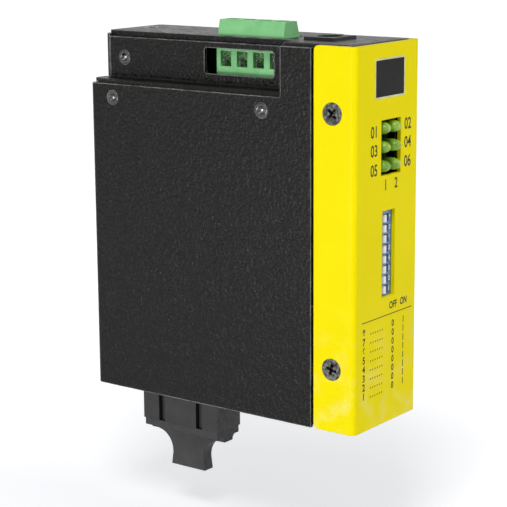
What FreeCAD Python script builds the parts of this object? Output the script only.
import FreeCAD, Part
import os
import re
import Sketcher

# Fibre media converter: a folded steel case that carries a circuit board with a duplex SC
# transceiver and a copper data port facing down, a pluggable terminal block and a DC power jack
# facing up, and a front with lamps and a row of setting levers.
#
# Case frame, in millimetres: X runs across the case with the wiring pocket on -X, Y runs from the
# front face at 0 to the rear, Z runs up from the bottom at 0. Every piece is drawn in that frame or
# in one of its own, and its Placement puts it in the part's frame, whose origin is the middle of the
# rear mount.

sizes = {
    # Case sheets
    "case_width": 28.5,
    "case_depth": 82.5,
    "case_height": 94.0,
    "wall": 1.0,
    "bend": 1.5,              # outer radius of the shell's and the bezel's folds
    "inner_bend": 1.4,        # outer radius of the folds that nest inside them
    "top_reveal": 0.9,        # the side plates stop this far below the top face
    "bezel_depth": 11.8,
    "bezel_gap": 0.8,
    "bezel_reveal": 0.2,
    "bezel_corner": 1.3,
    "flange": 8.0,            # depth of the frame's inner side flanges
    "corner_relief": 3.0,
    "sheet_gap": 0.2,
    "tab_length": 10.0,
    "end_tab_length": 6.7,
    "tab_width": 11.0,
    "lip": 2.0,
    # Rear mount
    "mount_height": 47.0,
    "mount_spacing": 25.0,
    "mount_hole": 1.25,
    "collar": 2.2,
    "collar_length": 2.0,
    # Wiring pocket
    "pocket_inset": 6.3,
    "pocket_front": 21.6,
    "shelf_drop": 12.1,
    "pocket_reveal": 1.6,
    "pocket_flange": 7.4,
    "window_lead": 6.3,
    "window_length": 21.6,
    "window_sill": 2.55,
    "window_height": 6.5,
    "window_corner": 0.8,
    # Rivets and screws
    "rivet_head": 1.75,
    "rivet_shank": 1.2,
    "rivet_tail": 0.8,
    "fastener_play": 0.05,
    "pocket_rivet_inset": 6.6,
    "pocket_rivet_rise": 5.2,
    "side_rivet_drop": 4.6,
    "side_rivet_lead": 5.6,
    "side_rivet_inset": 7.7,
    "end_rivet_across": 4.4,
    "end_rivet_inset": 5.7,
    "screw_radius": 1.45,
    "screw_head": 2.75,
    "screw_head_height": 1.6,
    "bezel_screw_depth": 6.6,
    "bezel_screw_low": 15.75,
    "bezel_screw_drop": 16.1,
    "bezel_screw_length": 5.0,
    # Circuit board
    "board_face": 5.4,        # X of the side that carries the components
    "board_thickness": 1.6,
    "board_front_gap": 2.5,
    "board_rear_gap": 2.0,
    "board_end_gap": 3.0,
    "board_hole": 1.6,
    "board_tab_width": 9.0,
    "board_tab_height": 9.0,
    "low_screw_offset": 0.9,
    "board_screw_inset": 4.0,
    "high_screw_inset": 16.5,
    "front_screw_inset": 3.5,
    "front_screw_drop": 4.8,
    # Lamp window and lamps
    "lamp_left_gap": 2.1,
    "lamp_right_gap": 2.0,
    "lamp_low_gap": 2.15,
    "lamp_high_gap": 2.05,
    "window_margin": 0.5,
    "lamp_radius": 1.5,
    "lamp_tip": 0.85,
    "lamp_tip_depth": -1.2,
    "lamp_nose_depth": -0.1,
    "holder_margin": 0.4,
    "lamp_base_depth": 4.0,
    "lamp_pitch": 4.6,
    "lamp_left": -0.9,
    "lamp_drop": 25.05,
    "lead_width": 0.5,
    "lead_pitch": 1.27,
    "lead_length": 2.0,
    "holder_length": 3.5,
    # Setting switch
    "switch_window_near": 3.0,
    "switch_window_far": 2.6,
    "switch_window_below": 10.4,
    "switch_window_above": 11.0,
    "switch_drop": 51.5,
    "lever_pitch": 2.54,
    "lever_height": 1.75,
    "lever_thickness": 1.3,
    "lever_play": 0.12,
    "lever_axis_across": 0.8,
    "lever_axis_inset": 4.1,
    "lever_proud": 0.7,
    "lever_swing": 9.6,       # degrees to each side of straight ahead
    "lever_round": 0.3,
    "switch_near": 3.4,
    "switch_board_gap": 0.2,
    "switch_front_gap": 0.1,
    "switch_length": 8.4,
    "switch_end_wall": 0.85,
    # Pluggable terminal block
    "pole_pitch": 5.08,
    "plug_lead": 8.9,
    "plug_window_gap": 1.25,
    "plug_depth": 8.9,
    "plug_length": 21.0,
    "plug_step": 0.4,
    "plug_drop": 13.0,
    "plug_body": 12.6,
    "plug_head": 4.3,
    "plug_lean": 0.9,
    "plug_top_width": 4.8,
    "plug_top_foot": 7.0,
    "plug_play": 0.25,
    "tongue_step": 3.4,
    "tongue_length": 8.0,
    "tongue_inset": 0.8,
    "entry_width": 3.3,
    "entry_rise": 5.3,
    "entry_height": 3.9,
    "clamp_inset": 3.2,
    "cage_depth": 4.1,
    "cage_width": 3.9,
    "cage_side": 0.45,
    "cage_floor": 0.9,
    "cage_roof": 1.2,
    "cage_base": 4.2,
    "cage_height": 6.9,
    "cage_play": 0.15,
    "clamp_screw": 1.25,
    "clamp_head": 1.7,
    "clamp_head_sink": 2.2,
    "clamp_head_height": 1.5,
    "clamp_slot": 0.5,
    "clamp_slot_depth": 0.7,
    "clamp_web": 0.7,
    "clamp_length": 4.95,
    "contact_width": 2.0,
    "contact_sheet": 0.5,
    "contact_bar_rise": 4.8,
    "contact_leg_gap": 0.65,
    "contact_bridge_rise": 1.0,
    "contact_gap": 1.1,
    "contact_play": 0.1,
    "header_wall": 1.2,
    "header_play": 0.2,
    "header_base": 2.0,
    "header_pin": 0.9,
    "header_pin_stop": 0.8,
    # DC power jack
    "jack_reach": 11.0,
    "jack_mouth_width": 9.8,
    "jack_front": 12.0,
    "jack_depth": 8.7,
    "jack_mouth_rise": 0.75,
    "jack_step": 0.2,
    "jack_drop": 14.0,
    "jack_bore": 3.2,
    "jack_bore_depth": 10.0,
    "jack_pin": 1.0,
    "jack_pin_length": 9.0,
    "jack_play": 0.25,
    # Copper data port
    "port_reach": 13.2,
    "port_front": 18.0,
    "port_width": 15.9,
    "port_rise": 17.0,
    "port_mouth": -0.5,
    "port_sheet": 0.3,
    "port_play": 0.2,
    "port_opening_width": 11.8,
    "port_opening_height": 6.7,
    "port_opening_inset": 2.3,
    "port_opening_depth": 13.0,
    "latch_width": 6.2,
    "latch_height": 1.6,
    "latch_end_width": 3.4,
    "latch_end_height": 1.2,
    "port_contact_pitch": 1.02,
    "port_contact": 0.45,
    "port_contact_length": 9.0,
    "port_contact_angle": 12.0,
    # Fibre transceiver
    "fibre_depth": 9.8,
    "fibre_inset": 20.8,
    "fibre_width": 25.4,
    "fibre_mouth": -11.0,
    "fibre_top": 28.0,
    "fibre_pitch": 12.7,
    "socket_width": 9.0,
    "socket_depth": 7.4,
    "socket_length": 18.0,
    "keyway_width": 2.0,
    "keyway_length": 7.1,
    "sleeve_outer": 2.3,
    "sleeve_inner": 1.25,
    "sleeve_length": 13.0,
    "fibre_play": 0.2,
    "fibre_pin": 0.5,
    "fibre_pin_pitch": 2.54,
    "fibre_pin_drop": 6.0,
    # Dust plug
    "cap_inset": 0.15,
    "cap_flange": 1.9,
    "cap_corner": 0.5,
    "grip_thickness": 3.5,
    "grip_root": 1.5,
    "grip_waist": 10.5,
    "grip_end": 11.4,
    "grip_waist_drop": 7.6,
    "grip_length": 10.8,
    "grip_hollow": 5.5,
    "grip_blend": 1.2,
    "prong_play": 0.2,
    "prong_length": 8.5,
    "prong_bore": 2.8,
    # Board components
    "chip_side": 14.0,
    "chip_thickness": 1.4,
    "chip_lead": 1.0,
    "chip_lead_width": 0.4,
    "chip_lead_pitch": 1.0,
    "chip_inset": 27.5,
    "chip_height": 42.0,
    "magnetics_thickness": 5.0,
    "magnetics_height": 9.0,
    "coil_side": 7.0,
    "coil_thickness": 4.0,
    "coil_depth": 24.0,
    "coil_drop": 38.0,
    "capacitor_radius": 4.0,
    "capacitor_length": 9.5,
    "capacitor_inset": 17.5,
    "capacitor_height": 66.0,
    "capacitor_pitch": 10.0,
    "crystal_length": 11.0,
    "crystal_width": 4.6,
    "crystal_thickness": 3.5,
    "crystal_inset": 13.5,
    "crystal_height": 42.0,
}

# Planes and lines that several pieces share, worked out from the sizes above.
places = {
    "shelf_height": "case_height - shelf_drop",
    "pocket_rivet_depth": "case_depth - pocket_rivet_inset",
    "pocket_rivet_height": "shelf_height + pocket_rivet_rise",
    "side_rivet_height": "shelf_height - side_rivet_drop",
    "side_rivet_front": "pocket_front + side_rivet_lead",
    "side_rivet_rear": "case_depth - side_rivet_inset",
    "end_rivet_depth": "case_depth - end_rivet_inset",
    "bezel_screw_high": "case_height - bezel_screw_drop",
    "board_front": "2 * wall + board_front_gap",
    "board_rear": "rear_inner - board_rear_gap",
    "board_bottom": "wall + board_end_gap",
    "board_top": "case_height - wall - board_end_gap",
    "low_screw_depth": "(port_rear + fibre_front - low_screw_offset) / 2",
    "low_screw_height": "board_bottom + board_screw_inset",
    "high_screw_depth": "board_rear - high_screw_inset",
    "high_screw_height": "board_top - board_screw_inset",
    "front_screw_depth": "board_front + front_screw_inset",
    "front_screw_height": "lamp_window_low - front_screw_drop",
    "lamp_window_left": "lamp_left - lamp_left_gap",
    "lamp_window_right": "lamp_right + lamp_right_gap",
    "lamp_window_low": "lamp_middle_height - lamp_pitch - lamp_low_gap",
    "lamp_window_high": "lamp_middle_height + lamp_pitch + lamp_high_gap",
    "lamp_middle_height": "case_height - lamp_drop",
    "holder_front": "lamp_base_depth + lead_length",
    "switch_window_left": "lever_axis_across - switch_window_near",
    "switch_window_right": "lever_axis_across + switch_window_far",
    "switch_window_low": "switch_middle - switch_window_below",
    "switch_window_high": "switch_middle + switch_window_above",
    "switch_middle": "case_height - switch_drop",
    "lever_axis_depth": "switch_front + lever_axis_inset",
    "lever_tip_depth": "switch_front - lever_proud",
    "switch_left": "lever_axis_across - switch_near",
    "switch_front": "wall + switch_front_gap",
    "plug_middle": "window_front + plug_lead",
    "window_front": "pocket_front + window_lead",
    "plug_near": "pocket_back + plug_window_gap",
    "plug_bottom": "case_height - plug_drop",
    "plug_shoulder": "plug_bottom + plug_body",
    "plug_top": "plug_shoulder + plug_head",
    "tongue_near": "plug_near + tongue_step",
    "entry_low": "plug_bottom + entry_rise",
    "entry_high": "entry_low + entry_height",
    "clamp_across": "plug_near + clamp_inset",
    "cage_low": "plug_bottom + cage_base",
    "clamp_head_low": "plug_top - clamp_head_sink",
    "clamp_tip": "clamp_head_low - clamp_length",
    "contact_bar_low": "cage_low + contact_bar_rise",
    "contact_leg_near": "cage_far + contact_leg_gap",
    "contact_bridge_low": "plug_bottom + contact_bridge_rise",
    "header_pin_top": "plug_bottom - header_pin_stop",
    "jack_near": "board_face - jack_reach",
    "jack_bottom": "case_height - jack_drop",
    "port_near": "board_face - port_reach",
    "port_opening_near": "port_near + port_opening_inset",
    "fibre_middle": "case_depth - fibre_inset",
    "fibre_pin_height": "fibre_top - fibre_pin_drop",
    "grip_waist_low": "cap_low - grip_waist_drop",
    "grip_low": "cap_low - grip_length",
    "chip_depth": "board_rear - chip_inset",
    "coil_height": "case_height - coil_drop",
    "capacitor_depth": "board_rear - capacitor_inset",
    "crystal_depth": "board_rear - crystal_inset",
    "shell_side": "case_width / 2",
    "frame_side": "case_width / 2 - wall",
    "flange_inner": "case_width / 2 - 2 * wall",
    "side_top": "case_height - top_reveal",
    "shell_front": "bezel_depth + bezel_gap",
    "rear_inner": "case_depth - wall",
    "frame_rear": "case_depth - wall - sheet_gap",
    "pocket_face": "pocket_inset - case_width / 2",
    "pocket_back": "pocket_inset - case_width / 2 + wall",
    "lip_back": "pocket_inset - case_width / 2 + 2 * wall",
    "shelf_under": "shelf_height - wall",
    "plate_edge": "shelf_height - wall - fastener_play * 2",
    "pocket_top": "case_height - pocket_reveal",
    "pocket_rear": "case_depth - bend - sheet_gap",
    "window_low": "shelf_height + window_sill",
    "window_high": "shelf_height + window_sill + window_height",
    "window_rear": "window_front + window_length",
    "bezel_top": "case_height - bezel_reveal",
    "board_back": "board_face + board_thickness",
    "tab_back": "board_face + board_thickness + wall",
    "lamp_right": "lamp_left + lamp_pitch",
    "switch_half": "3.5 * lever_pitch + lever_height / 2 + switch_end_wall + lever_play",
    "lever_reach": "lever_axis_depth - lever_tip_depth",
    "slot_half": "lever_reach * sin(lever_swing * 1 deg) + lever_thickness / 2 + lever_play",
    "plug_far": "plug_near + plug_depth",
    "plug_front": "plug_middle - plug_length / 2",
    "plug_rear": "plug_middle + plug_length / 2",
    "tongue_low": "plug_bottom - tongue_length",
    "cage_near": "clamp_across - cage_depth / 2",
    "cage_far": "clamp_across + cage_depth / 2",
    "contact_leg_far": "contact_leg_near + contact_sheet",
    "pin_near": "contact_leg_far + (contact_gap - header_pin) / 2",
    "pin_far": "contact_leg_far + (contact_gap + header_pin) / 2",
    "leaf_near": "contact_leg_far + contact_gap",
    "leaf_far": "contact_leg_far + contact_gap + contact_sheet",
    "contact_low": "tongue_low + contact_sheet",
    "header_floor": "tongue_low - header_play",
    "header_low": "tongue_low - header_play - header_base",
    "header_pin_low": "tongue_low - header_play - header_base - header_pin",
    "jack_far": "jack_near + jack_mouth_width",
    "jack_rear": "jack_front + jack_depth",
    "jack_top": "case_height + jack_mouth_rise",
    "jack_middle_across": "jack_near + jack_mouth_width / 2",
    "jack_middle_depth": "jack_front + jack_depth / 2",
    "port_rear": "port_front + port_width",
    "port_middle": "port_front + port_width / 2",
    "fibre_near": "-fibre_depth / 2",
    "fibre_far": "fibre_depth / 2",
    "fibre_front": "fibre_middle - fibre_width / 2",
    "fibre_rear": "fibre_middle + fibre_width / 2",
    "cap_low": "fibre_mouth - cap_flange",
    "cap_front": "fibre_front + cap_inset",
    "cap_rear": "fibre_rear - cap_inset",
    "grip_top": "fibre_mouth - cap_flange - grip_root",
}

doc = FreeCAD.newDocument("fibre_media_converter")
sheet = doc.addObject("Spreadsheet::Sheet", "sizes")
for row, (name, value) in enumerate(sizes.items(), 1):
    sheet.set(f"A{row}", name)
    sheet.set(f"B{row}", str(value))
    sheet.setAlias(f"B{row}", name)
doc.recompute()

# The plane that each axis is normal to, and the sign of that axis along the plane's own normal.
PLANES = {"X": ("YZ_Plane", "+"), "Y": ("XZ_Plane", "-"), "Z": ("XY_Plane", "+")}
TURNS = {
    "X": FreeCAD.Rotation(FreeCAD.Vector(0, 1, 0), 90),
    "Y": FreeCAD.Rotation(FreeCAD.Vector(1, 0, 0), -90),
    "Z": FreeCAD.Rotation(),
}
nodes = []


def tied(text):
    """A formula of size and place names, written as the document's expressions name them."""
    def swap(match):
        word = match.group(0)
        if word in places:
            return "(" + tied(places[word]) + ")"
        return "sizes." + word if word in sizes else word
    return re.sub(r"[A-Za-z_]\w*", swap, str(text))


def number(text):
    """The present value of a formula."""
    return float(sheet.evalExpression(tied(text)))


def keep(piece, label, across="0", depth="0", height="0"):
    """Names a finished piece and places it, from the case frame into the part's frame."""
    piece.Label = label
    piece.setExpression("Placement.Base.x", tied(across))
    piece.setExpression("Placement.Base.y", tied(f"({depth}) - case_depth"))
    piece.setExpression("Placement.Base.z", tied(f"({height}) - mount_height"))
    nodes.append(piece)
    return piece


# Part design pieces: bodies made of sketched profiles

def body_of(label, **place):
    return keep(doc.addObject("PartDesign::Body", label), label, **place)


def rect(low_u, high_u, low_v, high_v):
    return [(low_u, low_v), (high_u, low_v), (high_u, high_v), (low_u, high_v)]


def sketch(body, axis, level, outlines):
    """Draws outlines across an axis. An outline is a list of corners, or (middle, middle, radius)."""
    role, sign = PLANES[axis]
    drawing = body.newObject("Sketcher::SketchObject", body.Label + "_sketch")
    plane = next(item for item in body.Origin.OriginFeatures if item.Role == role)
    drawing.AttachmentSupport = [(plane, "")]
    drawing.MapMode = "FlatFace"
    drawing.setExpression("AttachmentOffset.Base.z", tied(f"{sign}({level})"))

    def pin_down(index, point, u, v):
        for kind, formula in (("DistanceX", u), ("DistanceY", v)):
            rule = Sketcher.Constraint(kind, -1, 1, index, point, number(formula))
            drawing.setExpression(f"Constraints[{drawing.addConstraint(rule)}]", tied(formula))

    for outline in outlines:
        first = drawing.GeometryCount
        if isinstance(outline, tuple):
            u, v, radius = outline
            middle = FreeCAD.Vector(number(u), number(v), 0)
            drawing.addGeometry(Part.Circle(middle, FreeCAD.Vector(0, 0, 1), number(radius)))
            pin_down(first, 3, u, v)
            rule = Sketcher.Constraint("Radius", first, number(radius))
            drawing.setExpression(f"Constraints[{drawing.addConstraint(rule)}]", tied(radius))
            continue
        points = [FreeCAD.Vector(number(u), number(v), 0) for u, v in outline]
        count = len(points)
        for index, point in enumerate(points):
            drawing.addGeometry(Part.LineSegment(point, points[(index + 1) % count]))
        for index in range(count):
            following = first + (index + 1) % count
            drawing.addConstraint(Sketcher.Constraint("Coincident", first + index, 2, following, 1))
        for index, (u, v) in enumerate(outline):
            pin_down(first + index, 1, u, v)
    return drawing


def settle(body, feature):
    """Works out a new feature and stops the build with its reason if it has no solid."""
    doc.recompute()
    if feature.Shape.isNull() or "Invalid" in feature.State:
        raise ValueError(f"{body.Label}: {feature.Name} failed: {feature.getStatusString()}")


def extrude(body, kind, axis, low, high, outlines):
    """Adds or cuts a straight prism between two levels of an axis."""
    before = body.Tip.Shape.Volume if body.Tip else 0.0
    adds = kind == "PartDesign::Pad"
    start = low if adds == (PLANES[axis][1] == "+") else high
    profile = sketch(body, axis, start, outlines)
    feature = body.newObject(kind, body.Label + "_step")
    feature.Profile = profile
    feature.setExpression("Length", tied(f"({high}) - ({low})"))
    settle(body, feature)
    change = feature.Shape.Volume - before
    if (change <= 0) == adds or change == 0:
        raise ValueError(f"{body.Label}: a step along {axis} changed the volume by {change:.3f}")
    return feature


def add(body, axis, low, high, *outlines):
    return extrude(body, "PartDesign::Pad", axis, low, high, outlines)


def cut(body, axis, low, high, *outlines):
    return extrude(body, "PartDesign::Pocket", axis, low, high, outlines)


def spin(body, corners):
    """Turns a profile of (radius, height) corners about the body's own Z axis."""
    feature = body.newObject("PartDesign::Revolution", body.Label + "_turn")
    feature.Profile = sketch(body, "Y", "0", [corners])
    feature.ReferenceAxis = (feature.Profile[0], ["V_Axis"])
    feature.Angle = 360
    settle(body, feature)


def soften(body, kind, size, axis, *lines):
    """Rounds or bevels the straight edges that run along an axis through the given lines."""
    base = body.Tip
    along = axis.lower()
    others = "xyz".replace(along, "")
    targets = [(number(u), number(v)) for u, v in lines]
    names = []
    for index, edge in enumerate(base.Shape.Edges, 1):
        start, end = edge.Vertexes[0].Point, edge.Vertexes[-1].Point
        if abs(getattr(end - start, along)) < 0.01 or "Line" not in edge.Curve.TypeId:
            continue
        for target in targets:
            if all(abs(getattr(point, letter) - level) < 0.01
                   for point in (start, end) for letter, level in zip(others, target)):
                names.append(f"Edge{index}")
    if not names:
        raise ValueError(f"{body.Label}: no edge to soften along {axis}")
    feature = body.newObject(kind, body.Label + "_edge")
    feature.Base = (base, names)
    feature.setExpression("Radius" if kind.endswith("Fillet") else "Size", tied(size))
    settle(body, feature)


def fillet(body, size, axis, *lines):
    soften(body, "PartDesign::Fillet", size, axis, *lines)


def chamfer(body, size, axis, *lines):
    soften(body, "PartDesign::Chamfer", size, axis, *lines)


# Part pieces: primitives and booleans

def box(x, y, z, angle=None):
    """A block between (low, high) formulas of each axis; with an angle it leans about its Y edge."""
    block = doc.addObject("Part::Box", "block")
    for side, (low, high) in zip(("Length", "Width", "Height"), (x, y, z)):
        block.setExpression(side, tied(f"({high}) - ({low})"))
    if angle:
        block.Placement.Rotation = FreeCAD.Rotation(FreeCAD.Vector(0, 1, 0), 1)
        block.setExpression("Placement.Rotation.Angle", tied(angle))
    for letter, (low, high) in zip("xyz", (x, y, z)):
        block.setExpression(f"Placement.Base.{letter}", tied(low))
    return block


def rod(axis, low, high, u, v, radius, tip_radius=None):
    """A cylinder, or a cone when a second radius is given, along an axis between two levels."""
    round_piece = doc.addObject("Part::Cone" if tip_radius else "Part::Cylinder", "rod")
    round_piece.Placement.Rotation = TURNS[axis]
    if tip_radius:
        round_piece.setExpression("Radius1", tied(radius))
        round_piece.setExpression("Radius2", tied(tip_radius))
    else:
        round_piece.setExpression("Radius", tied(radius))
    round_piece.setExpression("Height", tied(f"({high}) - ({low})"))
    where = {axis: low}
    where.update(zip([letter for letter in "XYZ" if letter != axis], (u, v)))
    for letter, formula in where.items():
        round_piece.setExpression(f"Placement.Base.{letter.lower()}", tied(formula))
    return round_piece


def joined(pieces):
    """One object made of several, with a Placement of its own."""
    if len(pieces) == 1:
        single = doc.addObject("Part::Compound", "single")
        single.Links = pieces
        return single
    union = doc.addObject("Part::MultiFuse", "joined")
    union.Shapes = pieces
    union.Refine = True
    return union


def trimmed(base, tools):
    rest = doc.addObject("Part::Cut", "trimmed")
    rest.Base = base
    rest.Tool = joined(tools)
    return rest


def folded(body, axis, low, high, corners, outer, inner, radius):
    """A bent sheet: its cross-section's corners, and the folds to round on each side of it."""
    add(body, axis, low, high, corners)
    fillet(body, radius, axis, *outer)
    fillet(body, f"({radius}) - wall", axis, *inner)


# Case

# Screw places: depth and height
BEZEL_SCREWS = [("bezel_screw_depth", "bezel_screw_low"), ("bezel_screw_depth", "bezel_screw_high")]
BOARD_SCREWS = [("low_screw_depth", "low_screw_height"), ("high_screw_depth", "high_screw_height"),
                ("front_screw_depth", "front_screw_height")]

# Rivet places: the axis they run along, the outer face, the direction inward, and where they lie.
RIVETS = {
    "pocket": ("X", "pocket_face", 1, "pocket_rivet_depth", "pocket_rivet_height"),
    "side_front": ("X", "-shell_side", 1, "side_rivet_front", "side_rivet_height"),
    "side_rear": ("X", "-shell_side", 1, "side_rivet_rear", "side_rivet_height"),
    "top": ("Z", "case_height", -1, "end_rivet_across", "end_rivet_depth"),
    "bottom": ("Z", "0", 1, "end_rivet_across", "end_rivet_depth"),
}


def rivet_hole(body, name, sheet_number):
    """Drills one of the two sheets that a rivet joins: 0 the outer one with its head, 1 the inner."""
    axis, face, inward, u, v = RIVETS[name]
    near = f"{face} + {inward * sheet_number} * wall"
    far = f"{face} + {inward * (sheet_number + 1)} * wall"
    low, high = (near, far) if inward > 0 else (far, near)
    radius = "rivet_shank + fastener_play" if sheet_number else "rivet_head + fastener_play"
    cut(body, axis, low, high, (u, v, radius))


def make_case_wrap():
    """Black outer shell: one sheet folded into left plate, rear wall and right plate."""
    shell = body_of("case_wrap")
    corners = [("-shell_side", "shell_front"), ("-shell_side", "case_depth"),
               ("shell_side", "case_depth"), ("shell_side", "shell_front"),
               ("frame_side", "shell_front"), ("frame_side", "rear_inner"),
               ("-frame_side", "rear_inner"), ("-frame_side", "shell_front")]
    folded(shell, "Z", "0", "side_top", corners, corners[1:3], corners[5:7], "bend")
    # The left side is cut away for the wiring pocket, and its rear edge folds forward there, steps in
    # by one sheet and ends in a tab behind the pocket's plate.
    cut(shell, "Z", "plate_edge", "case_height",
        rect("-shell_side - wall", "pocket_face", "pocket_front", "case_depth + wall"))
    cut(shell, "Z", "plate_edge", "shelf_height",
        rect("pocket_face - wall", "pocket_face + bend + sheet_gap",
             "rear_inner - wall", "case_depth + wall"))
    add(shell, "Z", "shelf_height", "side_top",
        rect("pocket_face", "pocket_back", "case_depth - bend - fastener_play", "rear_inner"))
    fillet(shell, "bend", "Z", ("pocket_face", "case_depth"))
    add(shell, "Z", "window_low - wall", "pocket_top - lip",
        rect("pocket_back", "lip_back", "rear_inner - tab_length", "rear_inner"))
    rivet_hole(shell, "pocket", 1)
    for name in ("side_front", "side_rear"):
        rivet_hole(shell, name, 0)
    # Tabs under the top plate and over the bottom plate
    for name, low, high in (("top", "case_height - 2 * wall", "case_height - wall"),
                            ("bottom", "wall", "2 * wall")):
        add(shell, "Z", low, high,
            rect("end_rivet_across - tab_width / 2", "end_rivet_across + tab_width / 2",
                 "rear_inner - end_tab_length", "rear_inner"))
        rivet_hole(shell, name, 1)
    # Drawn and tapped collars for a rail bracket
    holes = [("0", "mount_height - mount_spacing / 2"), ("0", "mount_height + mount_spacing / 2")]
    add(shell, "Y", "rear_inner - collar_length", "rear_inner", *[hole + ("collar",) for hole in holes])
    cut(shell, "Y", "rear_inner - collar_length", "case_depth", *[hole + ("mount_hole",) for hole in holes])


def make_chassis():
    """Black inner frame: front web, top plate and bottom plate with their side flanges."""
    frame = body_of("chassis")
    # Front web with side flanges behind the bezel's
    web = [("-frame_side", "bezel_depth"), ("-frame_side", "wall"), ("frame_side", "wall"),
           ("frame_side", "bezel_depth"), ("flange_inner", "bezel_depth"), ("flange_inner", "2 * wall"),
           ("-flange_inner", "2 * wall"), ("-flange_inner", "bezel_depth")]
    folded(frame, "Z", "corner_relief", "case_height - corner_relief", web, web[1:3], web[5:7],
           "inner_bend")
    # Web, top and bottom in one fold
    fold = [("frame_rear", "case_height"), ("wall", "case_height"), ("wall", "0"), ("frame_rear", "0"),
            ("frame_rear", "wall"), ("2 * wall", "wall"), ("2 * wall", "case_height - wall"),
            ("frame_rear", "case_height - wall")]
    folded(frame, "X", "inner_bend - frame_side", "frame_side - inner_bend", fold, fold[1:3], fold[5:7],
           "inner_bend")
    cut(frame, "Z", "case_height - wall", "case_height",
        rect("-frame_side", "pocket_back", "pocket_front", "case_depth"))
    # Bottom channel, then the top's front stretch at full width and its rear stretch beside the pocket
    bottom = [("-frame_side", "flange"), ("-frame_side", "0"), ("frame_side", "0"), ("frame_side", "flange"),
              ("flange_inner", "flange"), ("flange_inner", "wall"), ("-flange_inner", "wall"),
              ("-flange_inner", "flange")]
    folded(frame, "Y", "shell_front + corner_relief", "frame_rear", bottom, bottom[1:3], bottom[5:7],
           "inner_bend")
    full = [(u, f"case_height - ({v})") for u, v in bottom]
    folded(frame, "Y", "corner_relief", "pocket_front", full, full[1:3], full[5:7], "inner_bend")
    beside = [("pocket_back", "case_height - lip"), ("pocket_back", "case_height"),
              ("frame_side", "case_height"), ("frame_side", "case_height - flange"),
              ("flange_inner", "case_height - flange"), ("flange_inner", "case_height - wall"),
              ("lip_back", "case_height - wall"), ("lip_back", "case_height - lip")]
    add(frame, "Y", "pocket_front", "frame_rear", beside)
    # Rear corners cleared for the shell's folds
    cut(frame, "Z", "0", "case_height",
        rect("-frame_side", "bend - wall - frame_side", "pocket_rear", "case_depth"),
        rect("frame_side + wall - bend", "frame_side", "pocket_rear", "case_depth"))
    # Openings of the top: power jack and terminal plug
    cut(frame, "Z", "case_height - 2 * wall", "case_height",
        rect("jack_near - jack_play", "jack_far + jack_play", "jack_front - jack_play",
             "jack_rear + jack_play"),
        rect("plug_near - plug_play", "plug_far + plug_play", "plug_front - plug_play - fastener_play",
             "plug_rear + plug_play + fastener_play"))
    # Openings of the bottom: copper port and fibre transceiver
    cut(frame, "Z", "0", "wall",
        rect("port_near - port_play", "board_face + port_play", "port_front - port_play",
             "port_rear + port_play"),
        rect("fibre_near - fibre_play", "fibre_far + fibre_play", "fibre_front - fibre_play",
             "fibre_rear + fibre_play"))
    # Openings of the front, a little wider than the bezel's
    cut(frame, "Y", "wall", "2 * wall",
        rect("lamp_window_left - window_margin", "lamp_window_right + window_margin",
             "lamp_window_low - window_margin", "lamp_window_high + window_margin"),
        rect("switch_left - window_margin", "board_face - switch_board_gap + window_margin",
             "switch_middle - switch_half - window_margin", "switch_middle + switch_half + window_margin"))
    # Tabs that carry the board, tapped for its screws
    low_tab = rect("low_screw_depth - board_tab_width / 2", "low_screw_depth + board_tab_width / 2",
                   "wall / 2", "low_screw_height + board_tab_height / 2")
    high_tab = rect("high_screw_depth - board_tab_width / 2", "high_screw_depth + board_tab_width / 2",
                    "high_screw_height - board_tab_height / 2", "case_height - wall / 2")
    front_tab = rect("wall + wall / 2", "front_screw_depth + board_tab_height / 2",
                     "front_screw_height - 3 * wall", "front_screw_height + 3 * wall")
    for tab in (low_tab, high_tab, front_tab):
        add(frame, "X", "board_back", "tab_back", tab)
    cut(frame, "X", "board_back", "tab_back",
        *[hole + ("screw_radius + fastener_play",) for hole in BOARD_SCREWS])
    # Tapped holes for the bezel's screws
    for low, high in (("-frame_side", "-flange_inner"), ("flange_inner", "frame_side")):
        cut(frame, "X", low, high, *[hole + ("screw_radius + fastener_play",) for hole in BEZEL_SCREWS])
    rivet_hole(frame, "top", 0)
    rivet_hole(frame, "bottom", 0)


def make_terminal_pocket():
    """Stepped plate of the wiring pocket: back plate with the window, shelf, flange and end wall."""
    pocket = body_of("terminal_pocket")
    step = [("-frame_side", "shelf_height - pocket_flange"),
            ("-flange_inner", "shelf_height - pocket_flange"),
            ("-flange_inner", "shelf_under"), ("pocket_back", "shelf_under"),
            ("pocket_back", "pocket_top"), ("pocket_face", "pocket_top"),
            ("pocket_face", "shelf_height"), ("-frame_side", "shelf_height")]
    add(pocket, "Y", "pocket_front - wall", "pocket_rear", step)
    fillet(pocket, "inner_bend", "Y", step[3], step[7])
    fillet(pocket, "inner_bend - wall", "Y", step[2], step[6])
    add(pocket, "Y", "pocket_rear", "case_depth",
        rect("inner_bend - frame_side", "pocket_face - fastener_play", "shelf_under", "shelf_height"))
    add(pocket, "Y", "pocket_front - wall", "pocket_front",
        rect("inner_bend - frame_side", "pocket_back", "shelf_under", "case_height - wall"))
    cut(pocket, "X", "pocket_face", "pocket_back",
        rect("window_front", "window_rear", "window_low", "window_high"))
    fillet(pocket, "window_corner", "X", ("window_front", "window_low"), ("window_rear", "window_low"),
           ("window_front", "window_high"), ("window_rear", "window_high"))
    rivet_hole(pocket, "pocket", 0)
    for name in ("side_front", "side_rear"):
        rivet_hole(pocket, name, 1)


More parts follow.
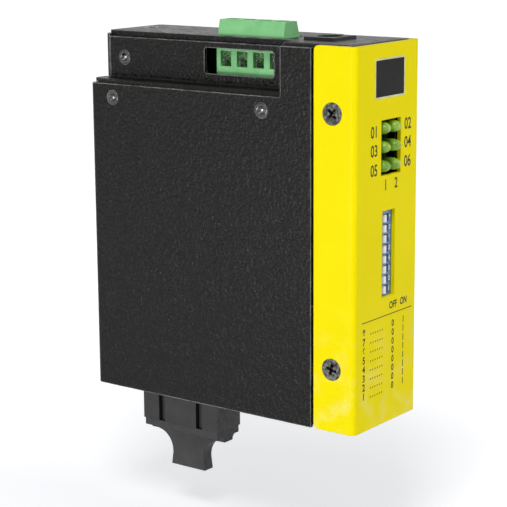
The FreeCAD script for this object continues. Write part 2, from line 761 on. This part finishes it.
def make_front_bezel():
    """Yellow front: a flat channel with the lamp and switch windows, screwed on at its flanges."""
    bezel = body_of("front_bezel")
    corners = [("-shell_side", "bezel_depth"), ("-shell_side", "0"), ("shell_side", "0"),
               ("shell_side", "bezel_depth"), ("frame_side", "bezel_depth"), ("frame_side", "wall"),
               ("-frame_side", "wall"), ("-frame_side", "bezel_depth")]
    folded(bezel, "Z", "fastener_play", "bezel_top", corners, corners[1:3], corners[5:7], "bend")
    fillet(bezel, "bezel_corner", "X", ("bezel_depth", "fastener_play"), ("bezel_depth", "bezel_top"))
    cut(bezel, "Y", "0", "wall",
        rect("lamp_window_left", "lamp_window_right", "lamp_window_low", "lamp_window_high"),
        rect("switch_window_left", "switch_window_right", "switch_window_low", "switch_window_high"))
    for side in (-1, 1):
        for depth, height in BEZEL_SCREWS:
            sink = bezel.newObject("PartDesign::SubtractiveCone", "countersink")
            sink.Placement.Rotation = FreeCAD.Rotation(FreeCAD.Vector(0, 1, 0), 90 * side)
            sink.setExpression("Radius1", tied("screw_head + fastener_play - wall"))
            sink.setExpression("Radius2", tied("screw_head + fastener_play"))
            sink.setExpression("Height", tied("wall"))
            sink.setExpression("Placement.Base.x", tied(f"{side} * frame_side"))
            sink.setExpression("Placement.Base.y", tied(depth))
            sink.setExpression("Placement.Base.z", tied(height))


def make_fasteners():
    """Countersunk bezel screws, pan-head board screws and flush rivets."""
    pieces = []
    for side in (-1, 1):
        for depth, height in BEZEL_SCREWS:
            head = rod("X", "0", "wall", "0", "0", "screw_head - wall", "screw_head")
            shank = rod("X", "wall - bezel_screw_length", "0", "0", "0", "screw_radius")
            screw = joined([head, shank])
            screw.Placement.Rotation = FreeCAD.Rotation(FreeCAD.Vector(0, 0, 1), 90 - 90 * side)
            screw.setExpression("Placement.Base.x", tied(f"{side} * frame_side"))
            screw.setExpression("Placement.Base.y", tied(depth))
            screw.setExpression("Placement.Base.z", tied(height))
            pieces.append(screw)
    keep(joined(pieces), "bezel_screws")
    pieces = []
    for depth, height in BOARD_SCREWS:
        pieces.append(rod("X", "board_face", "tab_back + wall", depth, height, "screw_radius"))
        pieces.append(rod("X", "board_face - screw_head_height", "board_face", depth, height,
                          "screw_head * 0.75", "screw_head"))
    keep(joined(pieces), "board_screws")
    pieces = []
    for axis, face, inward, u, v in RIVETS.values():
        head = ("0", "wall", "rivet_head")
        shank = ("wall", "2 * wall + rivet_tail", "rivet_shank")
        for start, end, radius in (head, shank):
            low, high = sorted((f"{face} + {inward} * ({start})", f"{face} + {inward} * ({end})"), key=number)
            pieces.append(rod(axis, low, high, u, v, radius))
    keep(joined(pieces), "rivets")


# Board and what it carries

def make_board():
    board = body_of("circuit_board")
    add(board, "X", "board_face", "board_back",
        rect("board_front", "board_rear", "board_bottom", "board_top"))
    cut(board, "X", "board_face", "board_back", *[hole + ("board_hole",) for hole in BOARD_SCREWS])
    chamfer(board, "wall", "X", ("board_rear", "board_bottom"), ("board_rear", "board_top"))


def make_lamps():
    """Six round lamps in two columns, their leads and the block that keeps them in line."""
    leads = []
    rows = [f"lamp_middle_height + {step} * lamp_pitch" for step in (1, 0, -1)]
    for row, height in enumerate(rows):
        for column, across in enumerate(("lamp_left", "lamp_right")):
            nose = rod("Y", "lamp_tip_depth", "lamp_nose_depth", across, height, "lamp_tip", "lamp_radius")
            barrel = rod("Y", "lamp_nose_depth", "lamp_base_depth", across, height, "lamp_radius")
            keep(joined([nose, barrel]), f"lamp_{2 * row + column + 1}")
            for side in (-1, 1):
                middle = f"{height} + {side} * lead_pitch"
                leads.append(box((f"{across} - lead_width / 2", f"{across} + lead_width / 2"),
                                 ("lamp_base_depth", "holder_front"),
                                 (f"{middle} - lead_width / 2", f"{middle} + lead_width / 2")))
    keep(joined(leads), "lamp_leads")
    margin = "(lamp_radius + holder_margin)"
    holder = body_of("lamp_holder")
    add(holder, "Y", "holder_front", "holder_front + holder_length",
        rect(f"lamp_left - {margin}", "board_face", f"{rows[2]} - {margin}", f"{rows[0]} + {margin}"))
    chamfer(holder, "lead_width", "Y", (f"lamp_left - {margin}", f"{rows[2]} - {margin}"),
            (f"lamp_left - {margin}", f"{rows[0]} + {margin}"))


def lever_height_at(index):
    return f"switch_middle + ({index} - 3.5) * lever_pitch"


def make_setting_switch():
    """Blue switch block with eight levers that rock sideways about one line inside it."""
    block = body_of("switch_body")
    far = "board_face - switch_board_gap"
    rear = "switch_front + switch_length"
    add(block, "Y", "switch_front", rear,
        rect("switch_left", far, "switch_middle - switch_half", "switch_middle + switch_half"))
    chamfer(block, "lever_round", "Z", ("switch_left", "switch_front"), (far, "switch_front"))
    slots = []
    for index in range(8):
        low = f"{lever_height_at(index)} - lever_height / 2 - lever_play"
        high = f"{lever_height_at(index)} + lever_height / 2 + lever_play"
        slots.append(rect("lever_axis_across - slot_half", "lever_axis_across + slot_half", low, high))
    cut(block, "Y", "switch_front", "lever_axis_depth + lever_thickness / 2 + lever_play", *slots)
    pins = []
    for index in range(8):
        height = lever_height_at(index)
        for depth in ("lever_axis_depth + lever_thickness / 2",
                      "switch_front + switch_length - lever_height"):
            pins.append(box((far, "board_face"), (f"{depth} - lead_width / 2", f"{depth} + lead_width / 2"),
                            (f"{height} - lead_width / 2", f"{height} + lead_width / 2")))
    keep(joined(pins), "switch_pins")
    for index in range(8):
        make_lever(index)


def make_lever(index):
    """One white lever, drawn straight ahead about its own axis and turned to the OFF side."""
    lever = body_of(f"switch_lever_{index + 1}", across="lever_axis_across", depth="lever_axis_depth",
                    height=lever_height_at(index))
    lever.Placement.Rotation = FreeCAD.Rotation(FreeCAD.Vector(0, 0, -1), 1)
    lever.setExpression("Placement.Rotation.Angle", tied("lever_swing"))
    half = "lever_thickness / 2"
    add(lever, "Z", "-lever_height / 2", "lever_height / 2", rect(f"-{half}", half, "-lever_reach", "0"))
    add(lever, "Z", "-lever_height / 2", "lever_height / 2", ("0", "0", half))
    chamfer(lever, "lever_round", "Z", (f"-{half}", "-lever_reach"), (half, "-lever_reach"))


# Terminal block

def pole(index):
    return f"plug_middle + ({index} - 1.5) * pole_pitch"


def around(index, half):
    return f"{pole(index)} - ({half})", f"{pole(index)} + ({half})"


def make_terminal_header():
    """Green header on the board: an open-topped socket with four pins."""
    header = body_of("terminal_header")
    near = "tongue_near - header_play"
    far = "plug_far + header_play"
    front = "plug_front + tongue_inset - header_play"
    rear = "plug_rear - tongue_inset + header_play"
    add(header, "Z", "header_low", "plug_bottom - header_play",
        rect(f"{near} - header_wall", "board_face", f"{front} - header_wall", f"{rear} + header_wall"))
    cut(header, "Z", "header_floor", "plug_bottom - header_play", rect(near, far, front, rear))
    cut(header, "Z", "header_low", "header_floor",
        *[rect("pin_near - fastener_play", "pin_far + fastener_play",
               *around(index, "header_pin / 2 + fastener_play")) for index in range(4)])
    pins = []
    for index in range(4):
        width = around(index, "header_pin / 2")
        pins.append(box(("pin_near", "pin_far"), width, ("header_pin_low", "header_pin_top")))
        pins.append(box(("pin_near", "board_face"), width, ("header_pin_low", "header_low")))
    keep(joined(pins), "header_pins")


def make_terminal_plug():
    """Green plug: screws from above, wire entries in its side, a tongue that enters the header."""
    plug = body_of("terminal_plug")
    add(plug, "Z", "plug_bottom", "plug_shoulder", rect("plug_near", "plug_far", "plug_front", "plug_rear"))
    top = [("plug_near", "plug_shoulder"), ("plug_near + plug_top_foot", "plug_shoulder"),
           ("plug_near + plug_lean + plug_top_width", "plug_top"), ("plug_near + plug_lean", "plug_top")]
    add(plug, "Y", "plug_front + plug_step", "plug_rear - plug_step", top)
    add(plug, "Z", "tongue_low", "plug_bottom",
        rect("tongue_near", "plug_far", "plug_front + tongue_inset", "plug_rear - tongue_inset"))
    poles = range(4)
    roof = "clamp_head_low - clamp_web"
    cut(plug, "Z", "cage_low - cage_play * 4", roof,
        *[rect("cage_near - cage_play", "cage_far + cage_play", *around(index, "cage_width / 2 + cage_play"))
          for index in poles])
    cut(plug, "Z", roof, "clamp_head_low",
        *[rect("clamp_across - clamp_screw - cage_play", "clamp_across + clamp_screw + cage_play",
               *around(index, "clamp_screw + cage_play")) for index in poles])
    cut(plug, "Z", "clamp_head_low", "plug_top",
        *[("clamp_across", pole(index), "clamp_head + cage_play") for index in poles])
    cut(plug, "X", "plug_near", "cage_near - cage_play",
        *[rect(*around(index, "entry_width / 2"), "entry_low", "entry_high") for index in poles])
    cut(plug, "Z", "tongue_low", "contact_bar_low + contact_sheet + contact_play",
        *[rect("contact_leg_near - contact_play", "leaf_far + contact_play",
               *around(index, "contact_width / 2 + contact_play")) for index in poles])
    cut(plug, "X", "cage_far", "contact_leg_near",
        *[rect(*around(index, "contact_width / 2 + contact_play"), "contact_bar_low - contact_play",
               "contact_bar_low + contact_sheet + contact_play") for index in poles])
    contacts = []
    for index in poles:
        width = around(index, "contact_width / 2")
        bar_top = "contact_bar_low + contact_sheet"
        contacts += [box(("cage_near", "contact_leg_far"), width, ("contact_bar_low", bar_top)),
                     box(("contact_leg_near", "contact_leg_far"), width, ("contact_low", bar_top)),
                     box(("contact_leg_near", "leaf_far"), width,
                         ("contact_bridge_low", "contact_bridge_low + contact_sheet")),
                     box(("leaf_near", "leaf_far"), width, ("contact_low", "contact_bridge_low"))]
    keep(joined(contacts), "plug_contacts")
    for index in poles:
        make_clamp(index)


def make_clamp(index):
    """One pole's slotted screw and the cage that climbs it to grip the wire."""
    screw = body_of(f"clamp_screw_{index + 1}", across="clamp_across", depth=pole(index))
    head_top = "clamp_head_low + clamp_head_height"
    spin(screw, [("0", "clamp_tip"), ("clamp_screw", "clamp_tip"), ("clamp_screw", "clamp_head_low"),
                 ("clamp_head", "clamp_head_low"), ("clamp_head", head_top), ("0", head_top)])
    cut(screw, "Z", f"{head_top} - clamp_slot_depth", head_top,
        rect("-clamp_head", "clamp_head", "-clamp_slot / 2", "clamp_slot / 2"))
    cage = body_of(f"clamp_cage_{index + 1}", depth=pole(index))
    half = "cage_width / 2"
    add(cage, "X", "cage_near", "cage_far",
        rect(f"-{half}", half, "cage_low", "cage_low + cage_height"))
    chamfer(cage, "cage_side", "X", (f"-{half}", "cage_low"), (half, "cage_low"))
    cut(cage, "X", "cage_near", "cage_far",
        rect(f"cage_side - {half}", f"{half} - cage_side", "cage_low + cage_floor",
             "cage_low + cage_height - cage_roof"))
    cut(cage, "Z", "cage_low + cage_height - cage_roof", "cage_low + cage_height",
        ("clamp_across", "0", "clamp_screw + fastener_play"))


# Connectors

def make_power_jack():
    """Black barrel jack that faces up through the top plate."""
    jack = body_of("power_jack")
    add(jack, "Z", "jack_bottom", "case_height - wall - sheet_gap",
        rect("jack_near", "board_face", "jack_front + jack_step", "jack_rear - jack_step"))
    add(jack, "Z", "case_height - wall - sheet_gap", "jack_top",
        rect("jack_near", "jack_far", "jack_front", "jack_rear"))
    middle = ("jack_middle_across", "jack_middle_depth")
    cut(jack, "Z", "jack_top - jack_bore_depth", "jack_top", middle + ("jack_bore",))
    # The side spring lies in its own groove beside the bore
    cut(jack, "Z", "jack_top - jack_bore_depth", "case_height - wall - sheet_gap",
        rect("jack_middle_across - jack_bore - lead_width", "jack_middle_across - jack_bore + lead_width",
             "jack_middle_depth - lead_pitch", "jack_middle_depth + lead_pitch"))
    floor = "jack_top - jack_bore_depth"
    pin = rod("Z", floor, f"{floor} + jack_pin_length - jack_pin", *middle, "jack_pin")
    tip = rod("Z", f"{floor} + jack_pin_length - jack_pin", f"{floor} + jack_pin_length", *middle,
              "jack_pin", "jack_pin / 2")
    keep(joined([pin, tip]), "jack_pin")
    spring = box(("jack_middle_across - jack_bore - lead_width", "jack_middle_across - jack_bore"),
                 ("jack_middle_depth - lead_pitch + fastener_play",
                  "jack_middle_depth + lead_pitch - fastener_play"),
                 (floor, "case_height - 3 * wall"))
    keep(joined([spring]), "jack_spring")


def make_data_port():
    """Shielded copper port that faces down, its moulded insert and eight spring contacts."""
    shield = body_of("port_shield")
    add(shield, "Z", "port_mouth", "port_rise", rect("port_near", "board_face", "port_front", "port_rear"))
    inside = rect("port_near + port_sheet", "board_face - port_sheet", "port_front + port_sheet",
                  "port_rear - port_sheet")
    cut(shield, "Z", "port_mouth", "port_rise - port_sheet", inside)
    insert = body_of("port_insert")
    add(insert, "Z", "port_mouth + port_sheet", "port_rise - port_sheet", inside)
    throat = "port_opening_near + port_opening_height"
    steps = [("port_opening_near", throat, "port_opening_width"),
             (throat, f"{throat} + latch_height", "latch_width"),
             (f"{throat} + latch_height", f"{throat} + latch_height + latch_end_height", "latch_end_width")]
    for near, far, width in steps:
        cut(insert, "Z", "port_mouth + port_sheet", "port_opening_depth",
            rect(near, far, f"port_middle - {width} / 2", f"port_middle + {width} / 2"))
    contacts = []
    for index in range(8):
        middle = f"port_middle + ({index} - 3.5) * port_contact_pitch"
        contacts.append(box(("port_opening_near", "port_opening_near + port_sheet"),
                            (f"{middle} - port_contact / 2", f"{middle} + port_contact / 2"),
                            ("port_opening_depth - port_contact_length", "port_opening_depth"),
                            "port_contact_angle"))
    keep(joined(contacts), "port_contacts")


def socket_middle(side):
    return f"fibre_middle + {side} * fibre_pitch / 2"


def make_transceiver():
    """Black duplex fibre transceiver with two keyed sockets that face down."""
    housing = body_of("fibre_transceiver")
    add(housing, "Z", "fibre_mouth", "fibre_top",
        rect("fibre_near", "fibre_far", "fibre_front", "fibre_rear"))
    cut(housing, "Z", "fibre_mouth", "fibre_mouth + socket_length",
        *[rect("-socket_depth / 2", "socket_depth / 2", f"{socket_middle(side)} - socket_width / 2",
               f"{socket_middle(side)} + socket_width / 2") for side in (-1, 1)])
    cut(housing, "Z", "fibre_mouth", "fibre_mouth + keyway_length",
        *[rect("fibre_near", "-socket_depth / 2", f"{socket_middle(side)} - keyway_width / 2",
               f"{socket_middle(side)} + keyway_width / 2") for side in (-1, 1)])
    sleeves = []
    pins = []
    root = "fibre_mouth + socket_length"
    for side in (-1, 1):
        outer = rod("Z", f"{root} - sleeve_length", root, "0", socket_middle(side), "sleeve_outer")
        bore = rod("Z", f"{root} - sleeve_length", f"{root} - sleeve_inner", "0", socket_middle(side),
                   "sleeve_inner")
        sleeves.append(trimmed(outer, [bore]))
    keep(joined(sleeves), "ferrule_sleeves")
    for index in range(9):
        middle = f"fibre_middle + ({index} - 4) * fibre_pin_pitch"
        pins.append(box(("fibre_far", "board_face"),
                        (f"{middle} - fibre_pin / 2", f"{middle} + fibre_pin / 2"),
                        ("fibre_pin_height - fibre_pin / 2", "fibre_pin_height + fibre_pin / 2")))
    keep(joined(pins), "transceiver_pins")


def make_dust_plug():
    """Soft grey plug for both fibre sockets: flange, two hollow prongs and a waisted grip."""
    cap = body_of("dust_plug")
    half = "fibre_depth / 2 - cap_inset"
    add(cap, "Z", "cap_low", "fibre_mouth", rect(f"-({half})", half, "cap_front", "cap_rear"))
    fillet(cap, "cap_corner", "Z", (f"-({half})", "cap_front"), (half, "cap_front"),
           (f"-({half})", "cap_rear"), (half, "cap_rear"))
    for side in (-1, 1):
        middle = socket_middle(side)
        add(cap, "Z", "fibre_mouth", "fibre_mouth + prong_length",
            rect("prong_play - socket_depth / 2", "socket_depth / 2 - prong_play",
                 f"{middle} - socket_width / 2 + prong_play", f"{middle} + socket_width / 2 - prong_play"))
    cut(cap, "Z", "fibre_mouth", "fibre_mouth + prong_length",
        *[("0", socket_middle(side), "prong_bore") for side in (-1, 1)])
    waist = ("fibre_middle - grip_waist / 2", "fibre_middle + grip_waist / 2")
    end = ("fibre_middle - grip_end / 2", "fibre_middle + grip_end / 2")
    grip = [("cap_front", "cap_low"), ("cap_front", "grip_top"), (waist[0], "grip_top"),
            (waist[0], "grip_waist_low"), (end[0], "grip_low"), (end[1], "grip_low"),
            (waist[1], "grip_waist_low"), (waist[1], "grip_top"), ("cap_rear", "grip_top"),
            ("cap_rear", "cap_low")]
    add(cap, "X", "-grip_thickness / 2", "grip_thickness / 2", grip)
    fillet(cap, "grip_hollow", "X", grip[2], grip[7])
    fillet(cap, "grip_blend", "Y", ("-grip_thickness / 2", "cap_low"), ("grip_thickness / 2", "cap_low"))


# Board components

def make_components():
    """The switch chip with its leads, magnetics, coils, capacitors and crystal on the board."""
    low, high = "chip_depth - chip_side / 2", "chip_depth + chip_side / 2"
    bottom, top = "chip_height - chip_side / 2", "chip_height + chip_side / 2"
    chip = box(("board_face - chip_thickness", "board_face"), (low, high), (bottom, top))
    keep(joined([chip]), "switch_chip")
    leads = []
    for step in range(12):
        span = f"({step} - 5.5) * chip_lead_pitch"
        along = (f"{span} - chip_lead_width / 2", f"{span} + chip_lead_width / 2")
        beside = [f"chip_depth + {edge}" for edge in along]
        above = [f"chip_height + {edge}" for edge in along]
        foot = ("board_face - chip_lead_width / 2", "board_face")
        leads.append(box(foot, beside, (f"{bottom} - chip_lead", bottom)))
        leads.append(box(foot, beside, (top, f"{top} + chip_lead")))
        leads.append(box(foot, (f"{low} - chip_lead", low), above))
        leads.append(box(foot, (high, f"{high} + chip_lead"), above))
    keep(joined(leads), "chip_leads")
    magnetics = box(("board_face - magnetics_thickness", "board_face"), ("port_front", "port_rear"),
                    ("port_rise + wall", "port_rise + wall + magnetics_height"))
    keep(joined([magnetics]), "magnetics")
    for step in range(2):
        height = f"coil_height + {step} * (coil_side + wall)"
        coil = body_of(f"coil_{step + 1}")
        square = rect("coil_depth - coil_side / 2", "coil_depth + coil_side / 2", f"{height} - coil_side / 2",
                      f"{height} + coil_side / 2")
        add(coil, "X", "board_face - coil_thickness", "board_face", square)
        chamfer(coil, "wall", "X", *square)
    for step in range(2):
        depth = f"capacitor_depth + {step} * capacitor_pitch"
        can = rod("X", "board_face - capacitor_length", "board_face", depth, "capacitor_height",
                  "capacitor_radius")
        keep(joined([can]), f"capacitor_{step + 1}")
    crystal = body_of("crystal")
    add(crystal, "X", "board_face - crystal_thickness", "board_face",
        rect("crystal_depth - crystal_width / 2", "crystal_depth + crystal_width / 2",
             "crystal_height - crystal_length / 2", "crystal_height + crystal_length / 2"))
    fillet(crystal, "crystal_width / 2 - fastener_play", "X",
           *rect("crystal_depth - crystal_width / 2", "crystal_depth + crystal_width / 2",
                 "crystal_height - crystal_length / 2", "crystal_height + crystal_length / 2"))


for make in (make_case_wrap, make_chassis, make_terminal_pocket, make_front_bezel, make_fasteners, make_board,
             make_lamps, make_setting_switch, make_terminal_header, make_terminal_plug, make_power_jack,
             make_data_port, make_transceiver, make_dust_plug, make_components):
    make()
doc.recompute()

for item in doc.Objects:
    if "Invalid" in item.State or "Error" in item.State:
        raise ValueError(f"{item.Label} did not build: {item.State}")
os.makedirs("parts", exist_ok=True)
for node in nodes:
    if node.Shape.isNull() or not node.Shape.isValid():
        raise ValueError(f"{node.Label} has no valid shape")
    node.Shape.exportStep(f"parts/{node.Label}.step")
